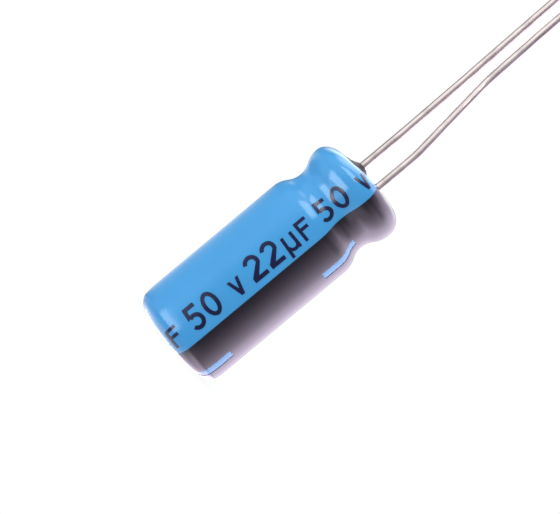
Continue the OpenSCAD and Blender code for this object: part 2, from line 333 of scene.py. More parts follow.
def full_turn(count):
    """A row of even turns about an axis, in degrees."""
    return np.linspace(0.0, 360.0, count, endpoint=False)[None, :]


def turned_about(radius, height, turn, sag):
    """Points at a radius and height, drawn in and lowered by the rim's drop, turned about the axis."""
    angle = np.radians(turn)
    radius = radius - draw_in(height) * np.clip(radius - 1.0, 0.0, 1.0)
    return points_of(radius * np.cos(angle), radius * np.sin(angle), height - rim_drop(turn, height, sag))


def on_skin(line, length, turn, sag):
    """Points on the can's or the sleeve's skin, from lengths along its outline and turns about the axis.

    The outline gives radius and height at each length. The height is lowered by the rim's drop,
    and the point is turned about the axis.
    """
    radius, height = (np.interp(length, line[:, 0], line[:, column]) for column in (1, 2))
    return turned_about(radius, height, turn, sag)


def turned_outline(outline, count, sag):
    """Grid of an outline, given as radius and height, turned right round the axis in even steps."""
    return turned_about(outline[:, :1], outline[:, 1:], full_turn(count), sag)


# Meshes


def round_faces(grid, closed_rows=False):
    """Quads of a grid whose columns go right round, and whose rows may join end to end too."""
    rows, columns = grid.shape[:2]
    row = np.arange(rows if closed_rows else rows - 1)[:, None]
    column = np.arange(columns)[None, :]
    this_row, next_row = row * columns, (row + 1) % rows * columns
    next_column = (column + 1) % columns
    quads = (this_row + column, this_row + next_column, next_row + next_column, next_row + column)
    return np.stack(quads, axis=-1).reshape(-1, 4)


def closed_faces(grid):
    """Faces of a grid whose columns go right round: its quads, and one many-sided face at each end."""
    rows, columns = grid.shape[:2]
    first, last = tuple(range(columns)), tuple(range((rows - 1) * columns, rows * columns))
    return [*map(tuple, round_faces(grid)), first[::-1], last]


def facing_in(grid):
    """Whether a grid's quads, taken along its columns and then its rows, face the axis."""
    across = grid[0, 1] - grid[0, 0]
    along = grid[1, 0] - grid[0, 0]
    return np.dot(np.cross(across, along), grid[0, 0] * (1, 1, 0)) < 0


def slab(top, base, solid):
    """Points and outward quads of a slab between an outer and an inner grid, over its solid cells.

    Each solid cell has an outer and an inner quad. Where a solid cell meets an empty one or the
    grid's edge, a quad joins the two grids. Points that no quad uses are left out.
    """
    rows, columns = top.shape[:2]
    inner = rows * columns
    row, column = np.nonzero(solid)
    a = row * columns + column
    b, c, d = a + 1, a + columns + 1, a + columns
    quads = [np.stack((a, b, c, d), axis=-1), np.stack((a, d, c, b), axis=-1) + inner]
    framed = np.pad(solid, 1)
    for edge, (start, end) in (
        (framed[:-2, 1:-1], (a, b)),
        (framed[2:, 1:-1], (c, d)),
        (framed[1:-1, :-2], (d, a)),
        (framed[1:-1, 2:], (b, c)),
    ):
        open_side = ~edge[row, column]
        start, end = start[open_side], end[open_side]
        quads.append(np.stack((end, start, start + inner, end + inner), axis=-1))
    quads = np.vstack(quads)
    if facing_in(top):
        quads = quads[:, ::-1]
    used, numbers = np.unique(quads, return_inverse=True)
    return np.vstack((top.reshape(-1, 3), base.reshape(-1, 3)))[used], numbers.reshape(quads.shape)


def add_piece(name, points, faces, material, sharp=40.0):
    """Makes one object from points in millimetres and faces, with soft shading up to an edge angle."""
    mesh = bpy.data.meshes.new(name)
    mesh.from_pydata(np.asarray(points, float).reshape(-1, 3) * MM, [], [list(face) for face in faces])
    mesh.update()
    mesh.validate()
    mesh.polygons.foreach_set("use_smooth", np.ones(len(mesh.polygons), bool))
    mesh.set_sharp_from_angle(angle=math.radians(sharp))
    piece = bpy.data.objects.new(name, mesh)
    bpy.context.scene.collection.objects.link(piece)
    mesh.materials.append(material)
    return piece


# Materials


def feed(tree, node, values):
    """Links a socket to each named input of a node, or sets the input's own value."""
    for label, value in values.items():
        if isinstance(value, bpy.types.NodeSocket):
            tree.links.new(value, node.inputs[label])
        else:
            node.inputs[label].default_value = value
    return node


def add_node(tree, kind, values=None, **settings):
    """A node with its settings and its inputs' values, which may be sockets to link from."""
    node = tree.nodes.new(kind)
    for setting, value in settings.items():
        setattr(node, setting, value)
    return feed(tree, node, values or {})


def maths(tree, operation, first, second=0.0):
    """Result of one sum on two values or sockets."""
    return add_node(tree, "ShaderNodeMath", {0: first, 1: second}, operation=operation).outputs[0]


def weighed(tree, first, weight, second, other_weight):
    """The first value times its weight plus the second value times its own."""
    first = maths(tree, "MULTIPLY", first, weight)
    return maths(tree, "ADD", first, maths(tree, "MULTIPLY", second, other_weight))


def noise(tree, place, scale, detail):
    """Cloudy noise from 0 to 1 at a place, by its scale and its number of finer layers."""
    values = {"Vector": place, "Scale": scale, "Detail": detail}
    return add_node(tree, "ShaderNodeTexNoise", values).outputs["Fac"]


def crests(tree, value, low, high):
    """Share from 0 to 1 by which a value stands between a low and a high limit."""
    limits = {"Value": value, "From Min": low, "From Max": high}
    return add_node(tree, "ShaderNodeMapRange", limits).outputs[0]


def between(tree, share, low, high):
    """Value between two values by a share from 0 to 1."""
    return add_node(tree, "ShaderNodeMapRange", {"Value": share, "To Min": low, "To Max": high}).outputs[0]


def blend_colours(tree, share, low, high):
    """Colour between two colours, or colour sockets, by a share from 0 to 1."""
    low, high = (end if isinstance(end, bpy.types.NodeSocket) else (*end, 1.0) for end in (low, high))
    return add_node(tree, "ShaderNodeMix", {0: share, 6: low, 7: high}, data_type="RGBA").outputs[2]


def bumps(tree, height, depth):
    """Normal of bumps of a real depth, in metres."""
    values = {"Height": height, "Distance": depth, "Strength": 1.0}
    return add_node(tree, "ShaderNodeBump", values).outputs["Normal"]


def shade(colour, factor):
    """A colour made darker or lighter by a factor, kept under 1."""
    return tuple(min(1.0, channel * factor) for channel in colour)


def object_place(tree):
    """Places in the object's own space."""
    return tree.nodes.new("ShaderNodeTexCoord").outputs["Object"]


def fill_mottle(group, given, result):
    """Soft clouds and fine grain: a cloud value, and a height of seven parts cloud to three of grain."""
    place = object_place(group)
    cloud = noise(group, place, given["Cloud scale"], 3.0)
    grain = noise(group, place, given["Grain scale"], 2.0)
    group.links.new(cloud, result["Cloud"])
    group.links.new(weighed(group, cloud, 0.7, grain, 0.3), result["Height"])


def fill_rings(group, given, result):
    """Fine rings round the axis, as a tool or a rolled edge leaves them: a value and a height.

    The distance from the axis times the pitch, shaken a little by noise, is the angle of a sine.
    """
    place = object_place(group)
    flat = add_node(group, "ShaderNodeVectorMath", {0: place, 1: (1.0, 1.0, 0.0)}, operation="MULTIPLY")
    reach = add_node(group, "ShaderNodeVectorMath", {0: flat.outputs[0]}, operation="LENGTH").outputs["Value"]
    cloud = noise(group, place, 900.0, 3.0)
    shaken = weighed(group, reach, given["Pitch"], cloud, maths(group, "MULTIPLY", given["Shake"], 60.0))
    wave = maths(group, "MULTIPLY", maths(group, "ADD", maths(group, "SINE", shaken), 1.0), 0.5)
    group.links.new(wave, result["Ring"])
    group.links.new(maths(group, "MULTIPLY", wave, cloud), result["Height"])


def fill_marks(group, given, result):
    """Handling marks on metal: scratches drawn out along the axis, and dull patches.

    Noise in a space squeezed along the axis gives streaks, of which only the crests count.
    """
    place = object_place(group)
    squeeze = add_node(group, "ShaderNodeCombineXYZ", {"X": 1.0, "Y": 1.0, "Z": given["Stretch"]}).outputs[0]
    drawn = add_node(group, "ShaderNodeVectorMath", {0: place, 1: squeeze}, operation="MULTIPLY").outputs[0]
    scratch = crests(group, noise(group, drawn, given["Scale"], 4.0), 0.56, 0.72)
    patch = noise(group, place, 1500.0, 1.5)
    group.links.new(scratch, result["Scratch"])
    group.links.new(crests(group, patch, 0.45, 0.7), result["Patch"])
    group.links.new(weighed(group, patch, 0.6, scratch, -0.4), result["Height"])


# Each shared node group: its inputs with their usual values, its outputs, and what fills it
NODE_GROUPS = {
    "Mottle": ({"Cloud scale": 700.0, "Grain scale": 6000.0}, ("Cloud", "Height"), fill_mottle),
    "Rings": ({"Pitch": 9000.0, "Shake": 0.1}, ("Ring", "Height"), fill_rings),
    "Handling marks": ({"Scale": 5000.0, "Stretch": 0.08}, ("Scratch", "Patch", "Height"), fill_marks),
}


def make_group(name, inputs, outputs, fill):
    """A shader node group with named value inputs and outputs, and its nodes between them."""
    group = bpy.data.node_groups.new(name, "ShaderNodeTree")
    for label, default in inputs.items():
        socket = group.interface.new_socket(name=label, in_out="INPUT", socket_type="NodeSocketFloat")
        socket.default_value = default
    for label in outputs:
        group.interface.new_socket(name=label, in_out="OUTPUT", socket_type="NodeSocketFloat")
    fill(group, group.nodes.new("NodeGroupInput").outputs, group.nodes.new("NodeGroupOutput").inputs)
    return group


def use_group(tree, name, **values):
    """Outputs of a shared group, made once, placed with its own values, which have _ for each space."""
    node = tree.nodes.new("ShaderNodeGroup")
    node.node_tree = bpy.data.node_groups.get(name) or make_group(name, *NODE_GROUPS[name])
    return feed(tree, node, {label.replace("_", " "): value for label, value in values.items()}).outputs


def new_material(name):
    """A material with its node tree and its Principled shader."""
    material = bpy.data.materials.new(name)
    material.use_nodes = True
    return material, material.node_tree, material.node_tree.nodes["Principled BSDF"]


def film_material(name, colour, roughness, grain=0.0000012):
    """Glossy shrunk film or ink: small clouds in its colour and gloss, over a faint orange peel."""
    material, tree, shader = new_material(name)
    mottle = use_group(tree, "Mottle", Cloud_scale=420.0, Grain_scale=2600.0)
    feed(tree, shader, {
        "Base Color": blend_colours(tree, mottle["Cloud"], shade(colour, 0.93), shade(colour, 1.07)),
        "Roughness": between(tree, mottle["Cloud"], roughness - 0.04, roughness + 0.04),
        "Normal": bumps(tree, mottle["Height"], grain),
        "IOR": 1.5,
    })
    return material


def rubber_material(name, colour):
    """Moulded rubber: matt, with a dusty bloom in patches and a fine moulded grain."""
    material, tree, shader = new_material(name)
    mottle = use_group(tree, "Mottle", Cloud_scale=1300.0, Grain_scale=11000.0)
    feed(tree, shader, {
        "Base Color": blend_colours(tree, mottle["Cloud"], shade(colour, 0.7), shade(colour, 1.6)),
        "Roughness": between(tree, mottle["Cloud"], 0.5, 0.72),
        "Normal": bumps(tree, mottle["Height"], 0.000006),
        "Specular IOR Level": 0.3,
    })
    return material


def aluminium_material(name, colour, roughness):
    """Drawn aluminium: rings of the drawing tool, scratches and dull patches."""
    material, tree, shader = new_material(name)
    rings = use_group(tree, "Rings", Pitch=60000.0, Shake=0.3)
    marks = use_group(tree, "Handling marks", Scale=4200.0, Stretch=0.1)
    dull = weighed(tree, rings["Ring"], 0.35, marks["Patch"], 0.65)
    feed(tree, shader, {
        "Base Color": blend_colours(tree, dull, colour, shade(colour, 0.78)),
        "Roughness": between(tree, dull, roughness, roughness + 0.16),
        "Normal": bumps(tree, maths(tree, "ADD", rings["Height"], marks["Height"]), 0.000003),
        "Metallic": 1.0,
    })
    return material


def wire_material(name, colour):
    """Tinned wire: bright plating with dull patches and drawn scratches along it."""
    material, tree, shader = new_material(name)
    marks = use_group(tree, "Handling marks", Scale=4200.0, Stretch=0.06)
    dull = maths(tree, "MAXIMUM", marks["Scratch"], maths(tree, "MULTIPLY", marks["Patch"], 0.7))
    feed(tree, shader, {
        "Base Color": blend_colours(tree, dull, colour, shade(colour, 0.62)),
        "Roughness": between(tree, dull, 0.1, 0.22),
        "Normal": bumps(tree, marks["Height"], 0.0000007),
        "Metallic": 1.0,
    })
    return material


def winding_material(name, colour):
    """Ends of the rolled papers and foils: rings of soaked paper with thin bright edges of foil."""
    material, tree, shader = new_material(name)
    rings = use_group(tree, "Rings", Pitch=75000.0, Shake=0.12)
    mottle = use_group(tree, "Mottle", Cloud_scale=800.0, Grain_scale=9000.0)
    foil = crests(tree, rings["Ring"], 0.72, 0.9)
    paper = blend_colours(tree, mottle["Cloud"], shade(colour, 0.7), shade(colour, 1.25))
    feed(tree, shader, {
        "Base Color": blend_colours(tree, foil, paper, (0.55, 0.56, 0.58)),
        "Metallic": foil,
        "Roughness": between(tree, mottle["Cloud"], 0.35, 0.7),
        "Normal": bumps(tree, maths(tree, "ADD", rings["Height"], mottle["Height"]), 0.00001),
    })
    return material


def swap_material(node, material):
    """Gives a CAD node one material in all its slots."""
    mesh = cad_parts[node].data
    if not mesh.materials:
        mesh.materials.append(material)
    for index in range(len(mesh.materials)):
        mesh.materials[index] = material


def settings(context):
    """The scene's settings for this object."""
    return context.scene.capacitor_looks


# Pieces


def sleeve_points(sag):
    """Grid of the sleeve's wall: its closed outline by turns about the axis.

    The outline goes from the window up the outer skin to the lip, round the cut edge, back down
    the inner skin and round the window's edge.
    """
    outer = skin_line(SLEEVE_OUT, 90.0, LIP_TURN)[:, 1:]
    inner = skin_line(SLEEVE_IN, 90.0, LIP_TURN, step=7.5)[::-1, 1:]
    middle, half = (outer[-1] + inner[0]) / 2, 0.5 * (SLEEVE_OUT - SLEEVE_IN)
    lip = arc(middle, half, LIP_TURN, LIP_TURN + 180.0, 0.0, 30.0)[1:-1]
    window = arc((WINDOW_R + SLEEVE_EDGE, SLEEVE_EDGE), SLEEVE_EDGE, 90.0, 270.0, 0.0, 30.0)
    return turned_outline(np.vstack((outer, lip, inner, window)), 288, sag)


def can_points(sag):
    """Grid of the drawn can, from the middle of its base up the outer skin, over the rim and down inside.

    The rim's cut end is square, and the inner skin runs along the outline at the wall's thickness.
    """
    outer = skin_line(0.0, 90.0, 90.0 + CURL_OVER)[:, 1:]
    inner = skin_line(-CAN_WALL, 90.0, 90.0 + CURL_OVER, step=6.0)[::-1, 1:]
    inner = inner[inner[:, 1] > CAN_Z + CORNER_R]
    inner_r = CORNER_R - CAN_WALL
    corner = arc((TURN_R, FLOOR_Z + inner_r), inner_r, 0.0, -90.0, 0.0, 10.0)
    spokes = np.linspace(0.02, TURN_R, 30)[:-1]
    base = np.column_stack((spokes, np.full(spokes.size, CAN_Z)))
    floor = np.column_stack((spokes, np.full(spokes.size, FLOOR_Z)))[::-1]
    return turned_outline(np.vstack((base, outer, inner, corner, floor)), 240, sag)


def ink_skins(corner_turn, rim_turn):
    """Outlines of the outer and inner skins of ink, which sits a little into the sleeve."""
    return (skin_line(out, corner_turn, rim_turn) for out in (SLEEVE_OUT + INK_T, SLEEVE_OUT - INK_SINK))


def stripe_points(dash_width, dash_length, sag):
    """Grids of the stripe's outer and inner skins, and which of its cells are ink.

    Rows are lengths up the outline and columns are turns about the axis. Cells between the edges
    of a dash are left out.
    """
    outer, inner = ink_skins(INK_WRAP, 90.0)
    half = math.degrees(math.asin(dash_width / 2 / SLEEVE_R))
    tops = np.arange(DASH_TOP, SEAT_Z, PRINT_PITCH)
    ends = np.concatenate((tops, tops - dash_length))
    position = np.linspace(0.0, 1.0, len(outer))
    share = np.unique(np.concatenate((position, np.interp(ends, outer[:, 2], position))))
    length, height = (np.interp(share, position, outer[:, column]) for column in (0, 2))
    inner_length = np.interp(share, position, inner[:, 0])
    side = STRIPE_SWEEP / 2
    turn = np.unique(np.concatenate((np.linspace(-side, side, 60), (-half, half))))
    middle_z = (height[1:] + height[:-1])[:, None] / 2
    middle_turn = (turn[1:] + turn[:-1]) / 2
    in_dash = ((middle_z < tops) & (middle_z > tops - dash_length)).any(axis=1)
    solid = ~(in_dash[:, None] & (np.abs(middle_turn) < half)[None, :])
    around = (turn + STRIPE_TURN)[None, :]
    top = on_skin(outer, length[:, None], around, sag)
    return top, on_skin(inner, inner_length[:, None], around, sag), solid


def ring_band(centre, rx, ry, start, end, stroke=INK_STROKE):
    """Two edges of part of an oval ring of one stroke's width."""
    angle = np.radians(np.linspace(start, end, int(abs(end - start) / 7.5) + 2))
    ray = np.column_stack((np.cos(angle), np.sin(angle)))
    return np.array(centre) + ray * (rx, ry), np.array(centre) + ray * (rx - stroke, ry - stroke)


def bar(first, second, third, fourth):
    """Two edges of a straight stroke: from the first corner to the second, and the fourth to the third."""
    share = np.linspace(0.0, 1.0, 9)[:, None]
    first, second, third, fourth = (np.array(corner, float) for corner in (first, second, third, fourth))
    return first + share * (second - first), fourth + share * (third - fourth)


def box_bar(x, y, width, height):
    """Two edges of an upright bar with its low corner at x, y."""
    return bar((x, y), (x + width, y), (x + width, y + height), (x, y + height))


def figure_bands(name):
    """Strokes of one printed figure, each as two edges, and the figure's width."""
    w, h, stroke = FIGURE_W, FIGURE_H, INK_STROKE
    if name == "0":
        return w, [ring_band((w / 2, h / 2), w / 2, h / 2, 0, 360)]
    if name == "5":
        bowl = 0.33 * h
        return w, [
            ring_band((w / 2, bowl), w / 2, bowl, -150, 128),
            bar((0.1 * w, 0.5 * h), (0.16 * w, h), (0.16 * w + stroke, h), (0.1 * w + stroke, 0.57 * h)),
            box_bar(0.16 * w, h - stroke, 0.78 * w, stroke),
        ]
    bowl = 0.32 * h
    middle = (w / 2, h - bowl)
    cos, sin = math.cos(math.radians(25)), math.sin(math.radians(25))
    outside = (middle[0] + w / 2 * cos, middle[1] - bowl * sin)
    inside = (middle[0] + (w / 2 - stroke) * cos, middle[1] - (bowl - stroke) * sin)
    return w, [
        ring_band(middle, w / 2, bowl, -25, 165),
        bar((0, 1.2 * stroke), inside, outside, (1.4 * stroke, 0.7 * stroke)),
        box_bar(0, 0, w, stroke),
        bar((0, stroke), (0, 1.2 * stroke), (1.4 * stroke, 0.99 * stroke), (1.4 * stroke, 0.9 * stroke)),
    ]


def letter_bands(name):
    """Strokes of one printed letter, which are finer than a figure's, and the letter's width."""
    w, h, stroke = LETTER_W, SMALL_H, LETTER_STROKE
    if name == "v":
        middle, foot, peak = w / 2, 0.55 * stroke, 1.9 * stroke
        return w, [
            bar((0, h), (middle - foot, 0), (middle, 2 * stroke), (stroke, h)),
            bar((w - stroke, h), (middle, 2 * stroke), (middle + foot, 0), (w, h)),
            bar((middle - foot, 0), (middle + foot, 0), (middle + 0.01, peak), (middle - 0.01, peak)),
        ]
    if name == "u":
        bowl = 0.35 * h
        return w, [
            ring_band((w / 2, bowl), w / 2, bowl, 180, 360, stroke),
            box_bar(w - stroke, 0, stroke, h),
            bar((-0.5 * stroke, -MICRO_DROP), (0, h), (stroke, h), (0.5 * stroke, -MICRO_DROP)),
        ]
    return w, [
        box_bar(0, 0, stroke, CAPITAL_H),
        box_bar(0, CAPITAL_H - stroke, w, stroke),
        box_bar(0, 0.48 * CAPITAL_H, 0.85 * w, stroke),
    ]


def rating_points(sag):
    """Slabs of the printed rating, laid on the sleeve: all their points and quads.

    A stroke is a grid between its two edges. Its distance along the print is a length up the
    outline, and its height across the print is a chord round the sleeve.
    """
    outer, inner = ink_skins(90.0, 60.0)
    points, faces, count = [], [], 0
    for start in (RATING_START - PRINT_PITCH, RATING_START, RATING_START + PRINT_PITCH):
        for name, place in RATING_MARKS:
            width, bands = figure_bands(name) if name.isdigit() else letter_bands(name)
            low = start + place
            if low < 0.1 or low + width > outer[-1, 0]:
                continue
            for first, second in bands:
                share = np.linspace(0.0, 1.0, 4)[None, :, None]
                flat = first[:, None, :] + share * (second - first)[:, None, :]
                length = low + flat[..., 0]
                turn = RATING_ANGLE - np.degrees(np.arcsin((flat[..., 1] - FIGURE_H / 2) / SLEEVE_R))
                top, base = (on_skin(line, length, turn, sag) for line in (outer, inner))
                cells = np.ones((len(first) - 1, 3), bool)
                stroke_points, quads = slab(top, base, cells)
                points.append(stroke_points)
                faces.append(quads + count)
                count += len(stroke_points)
    return np.vstack(points), np.vstack(faces)


def bung_points(look, sag):
    """Grid of the rubber bung by turns about the axis, from the middle of its face to its base.

    On the face, the height is the pad's plus a cone round each lead: the cone's height times the
    share by which a point lies inside its base, to the power 1.6. The face swells a little and
    rounds off at its edge. Below it the outline follows the inside of the can's wall.
    """
    turn = np.radians(full_turn(240))
    flat_r = PAD_R - PAD_EDGE
    edge = flat_r + PAD_EDGE * np.sin(np.radians(np.linspace(8, 90, 10)))
    radius = np.concatenate((np.linspace(BUNG_POLE, flat_r, 60), edge))[:, None]
    x, y = radius * np.cos(turn), radius * np.sin(turn)
    pad, cone_r = look.pad_height / MM, look.cone_radius / MM
    height = pad + 0.006 * np.sin(5 * x + 2) * np.sin(6 * y + 1)
    for side, top in ((-1, look.positive_cone / MM), (1, look.negative_cone / MM)):
        reach = np.hypot(x - side * LEAD_PITCH / 2, y)
        inside = np.clip((cone_r - reach) / (cone_r - LEAD_D / 2), 0.0, 1.0)
        height = height + (top - pad) * inside ** 1.6
    over = np.clip((radius - PAD_R + PAD_EDGE) / PAD_EDGE, 0.0, 1.0)
    height = height - PAD_EDGE * (1 - np.sqrt(1 - over**2))
    wall = skin_line(-BUNG_OUT, 90.0, 90.0 + CURL_OVER, step=6.0)[::-1, 1:]
    wall = wall[wall[:, 1] > BUNG_Z]
    foot_r = wall[-1, 0]
    side = np.vstack((
        [(PAD_R, wall[0, 1] + 0.01)],
        wall,
        [(foot_r, BUNG_Z + 0.05), (foot_r - 0.05, BUNG_Z), (BUNG_POLE, BUNG_Z)],
    ))
    return np.vstack((points_of(x, y, height), turned_outline(side, 240, sag)))


def lead_stations(route):
    """Places and leans along a lead: straight stretches joined by soft arcs at the route's corners."""
    corners = [(route[0][0] * LEAD_PITCH / 2, WELD_Z)] + [(x * LEAD_PITCH / 2, SEAT_Z + z) for x, z in route]
    corners = np.array(corners)
    steps = np.diff(corners, axis=0)
    lean = np.arctan2(-steps[:, 0], steps[:, 1])
    stations = [(*corners[0], lean[0])]
    for corner, before, after in zip(corners[1:-1], lean[:-1], lean[1:]):
        turn = after - before
        reach = BEND_R * math.tan(abs(turn) / 2)
        pull = math.copysign(BEND_R, turn)
        start = corner + reach * np.array((math.sin(before), -math.cos(before)))
        centre = start - pull * np.array((math.cos(before), math.sin(before)))
        for at in np.linspace(before, after, max(3, int(abs(math.degrees(turn)) / 1.2) + 2)):
            stations.append((*(centre + pull * np.array((math.cos(at), math.sin(at)))), at))
    stations.append((*corners[-1], lean[-1]))
    return np.array(stations)


def lead_points(route, nicks, seed):
    """Grid of one lead's skin: turns about its middle line by lengths along it, closed at both ends.

    The radius is the wire's own, wider at the welded foot and rounded off at the end, less small
    dents, each a bell curve round and along the wire, and less a slow and a quick wave.
    """
    stations = lead_stations(route)
    along = lengths_along(stations[:, :2])
    end = along[-1]
    full = np.linspace(0.0, end - LEAD_END_R, int(end / LEAD_STEP))
    rounded = end - LEAD_END_R + LEAD_END_R * np.array((0.3, 0.6, 0.85, 1.0))
    length = np.concatenate((full, rounded))[:, None]
    x, z, lean = (np.interp(length, along, stations[:, column]) for column in range(3))
    foot = np.clip((FOOT_Z - WELD_Z - length) / (FOOT_Z - WELD_Z), 0.0, 1.0)
    over = ((length - end + LEAD_END_R) / LEAD_END_R).clip(0)
    radius = LEAD_D / 2 + (WELD_D - LEAD_D) / 2 * foot
    radius = radius - LEAD_END_R * (1 - np.sqrt(np.clip(1 - over**2, 0.0, 1.0)))
    turn = np.radians(full_turn(40))
    rng = np.random.default_rng(seed)
    dents = 0.0
    # A dent's place along and round the wire, its size and its depth
    ranges = ((1.2, end), (0, 2 * math.pi), (0.12, 0.5), (0.3, 1.0))
    for at, side, size, depth in zip(*(rng.uniform(low, high, DENTS) for low, high in ranges)):
        around = np.angle(np.exp(1j * (turn - side)))
        dents = dents + depth * np.exp(-(((length - at) / size) ** 2) - (around / 0.45) ** 2)
    waver = 0.25 * np.sin(2.1 * length + seed + 2 * turn) + 0.2 * np.sin(5.3 * length + 3 * turn)
    radius = radius - nicks * (dents + waver) * (length > 1.0)
    across, side = radius * np.cos(turn), radius * np.sin(turn)
    body = points_of(x + across * np.cos(lean), side, z + across * np.sin(lean))
    middle = points_of(x, 0.0, z)
    first, last = (middle[at] + 0.02 * (body[at] - middle[at]) for at in (slice(0, 1), slice(-1, None)))
    return np.vstack((first, body, last))


class MakeSleeve(Operator):
    """Makes the shrunk plastic sleeve with its uneven lip and the window in the closed end."""

    bl_idname = "capacitor.make_sleeve"
    bl_label = "Make sleeve"

    def execute(self, context):
        look = settings(context).sleeve
        grid = sleeve_points(look.rim_sag / MM)
        material = film_material("blue_sleeve", look.colour, look.roughness)
        piece = add_piece("sleeve_film", grid, round_faces(grid, closed_rows=True), material)
        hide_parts("sleeve")
        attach(piece, BODY)
        return {"FINISHED"}


class MakeStripe(Operator):
    """Makes the dark printed stripe with its minus dashes."""

    bl_idname = "capacitor.make_stripe"
    bl_label = "Make stripe"

    def execute(self, context):
        look, ink = settings(context).sleeve, settings(context).printing
        grids = stripe_points(ink.dash_width / MM, ink.dash_length / MM, look.rim_sag / MM)
        points, faces = slab(*grids)
        material = film_material("stripe_ink", ink.stripe_colour, look.roughness)
        piece = add_piece("stripe_ink_film", points, faces, material)
        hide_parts("stripe_print")
        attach(piece, BODY)
        return {"FINISHED"}


class MakeRating(Operator):
    """Makes the printed rating, repeated along the sleeve."""

    bl_idname = "capacitor.make_rating"
    bl_label = "Make rating"

    def execute(self, context):
        look, ink = settings(context).sleeve, settings(context).printing
        points, faces = rating_points(look.rim_sag / MM)
        material = film_material("rating_ink", ink.rating_colour, look.roughness + 0.05)
        piece = add_piece("rating_ink_film", points, faces, material)
        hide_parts("rating_print")
        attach(piece, BODY)
        return {"FINISHED"}


class MakeBung(Operator):
    """Makes the rubber bung with a cone round each lead."""

    bl_idname = "capacitor.make_bung"
    bl_label = "Make bung"

    def execute(self, context):
        look = settings(context).bung
        grid = bung_points(look, settings(context).sleeve.rim_sag / MM)
        faces = [face[::-1] for face in closed_faces(grid)]
        piece = add_piece("bung_rubber", grid, faces, rubber_material("bung_rubber", look.colour))
        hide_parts("bung")
        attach(piece, BODY)
        return {"FINISHED"}


class MakeLeads(Operator):
    """Makes the two tinned leads with their soft bends and small dents."""

    bl_idname = "capacitor.make_leads"
    bl_label = "Make leads"

    def execute(self, context):
        look = settings(context).metal
        material = wire_material("tinned_wire", look.tin)
        for name, route, seed in (("positive", POSITIVE_ROUTE, 3), ("negative", NEGATIVE_ROUTE, 8)):
            grid = lead_points(route, look.nicks / MM, seed)
            piece = add_piece(f"{name}_wire", grid, closed_faces(grid), material, sharp=50.0)
            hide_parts(f"{name}_lead")
            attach(piece, BODY)
        return {"FINISHED"}


class MakeCan(Operator):
    """Makes the drawn can with its curled rim, which lies a little low on one side."""

    bl_idname = "capacitor.make_can"
    bl_label = "Make can"

    def execute(self, context):
        grid = can_points(settings(context).sleeve.rim_sag / MM)
        material = aluminium_material("drawn_aluminium", settings(context).metal.aluminium, 0.22)
        piece = add_piece("can_shell", grid, closed_faces(grid), material)
        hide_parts("can")
        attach(piece, BODY)
        return {"FINISHED"}


class DressTabs(Operator):
    """Gives the two tabs their pressed aluminium."""

    bl_idname = "capacitor.dress_tabs"
    bl_label = "Dress tabs"

    def execute(self, context):
        tab = aluminium_material("tab_aluminium", shade(settings(context).metal.aluminium, 0.9), 0.36)
        swap_material("positive_tab", tab)
        swap_material("negative_tab", tab)
        return {"FINISHED"}


class DressWinding(Operator):
    """Gives the winding its paper and foil, and its tape."""

    bl_idname = "capacitor.dress_winding"
    bl_label = "Dress winding"

    def execute(self, context):
        look = settings(context).metal
        swap_material("winding", winding_material("winding_paper", look.paper))
        swap_material("winding_tape", film_material("winding_tape", (0.62, 0.42, 0.12), 0.3, 0.000003))
        return {"FINISHED"}


# Stage


def soft_lamp(name, azimuth, elevation, distance, size, brightness, centre):
    """A square area lamp that faces a point, lights surfaces and is not seen in the gloss.

    Its power is its brightness times pi times its area.
    """
    light = bpy.data.lights.new(name, "AREA")
    light.size = size
    light.energy = brightness * math.pi * size * size
    holder = bpy.data.objects.new(name, light)
    bpy.context.scene.collection.objects.link(holder)
    a, e = math.radians(azimuth), math.radians(elevation)
    out = Vector((math.cos(a) * math.cos(e), math.sin(a) * math.cos(e), math.sin(e)))
    side = Vector((-math.sin(a), math.cos(a), 0.0))
    holder.matrix_world = placed((side, out.cross(side), out), Vector(centre) + distance * out)
    holder.visible_camera = False
    holder.visible_glossy = False


def placed(axes, centre):
    """Placing of an object with its three axes at a centre."""
    place = Matrix(axes).transposed().to_4x4()
    place.translation = centre
    return place


def build_world(strength):
    """White for the eye and for reflections, and a plain soft light for everything else."""
    world = bpy.data.worlds.new("White surround")
    bpy.context.scene.world = world
    world.use_nodes = True
    tree = world.node_tree
    tree.nodes.clear()
    path = tree.nodes.new("ShaderNodeLightPath").outputs
    seen = maths(tree, "MAXIMUM", path["Is Camera Ray"], path["Is Glossy Ray"])
    seen = maths(tree, "MAXIMUM", seen, path["Is Transmission Ray"])
    level = between(tree, seen, strength, 1.0)
    background = add_node(tree, "ShaderNodeBackground", {"Color": WHITE, "Strength": level})
    add_node(tree, "ShaderNodeOutputWorld", {"Surface": background.outputs[0]})


def floor_material():
    """Pale floor: matt white with faint clouds, mixed with plain white where the eye looks at it.

    The gloss looks through it, and so sees the white surround and the tent on every side.
    """
    material, tree, shader = new_material("floor_white")
    mottle = use_group(tree, "Mottle", Cloud_scale=40.0, Grain_scale=400.0)
    feed(tree, shader, {
        "Base Color": blend_colours(tree, mottle["Cloud"], (0.86, 0.86, 0.86), (0.9, 0.9, 0.9)),
        "Roughness": 0.9,
        "Specular IOR Level": 0.0,
    })
    path = tree.nodes.new("ShaderNodeLightPath").outputs
    glow = add_node(tree, "ShaderNodeEmission", {"Color": WHITE, "Strength": 1.07}).outputs[0]
    clear = tree.nodes.new("ShaderNodeBsdfTransparent").outputs[0]
    share = maths(tree, "MULTIPLY", path["Is Camera Ray"], 0.85)
    pale = add_node(tree, "ShaderNodeMixShader", {0: share, 1: shader.outputs[0], 2: glow}).outputs[0]
    surface = add_node(tree, "ShaderNodeMixShader", {0: path["Is Glossy Ray"], 1: pale, 2: clear}).outputs[0]
    feed(tree, tree.nodes["Material Output"], {"Surface": surface})
    return material


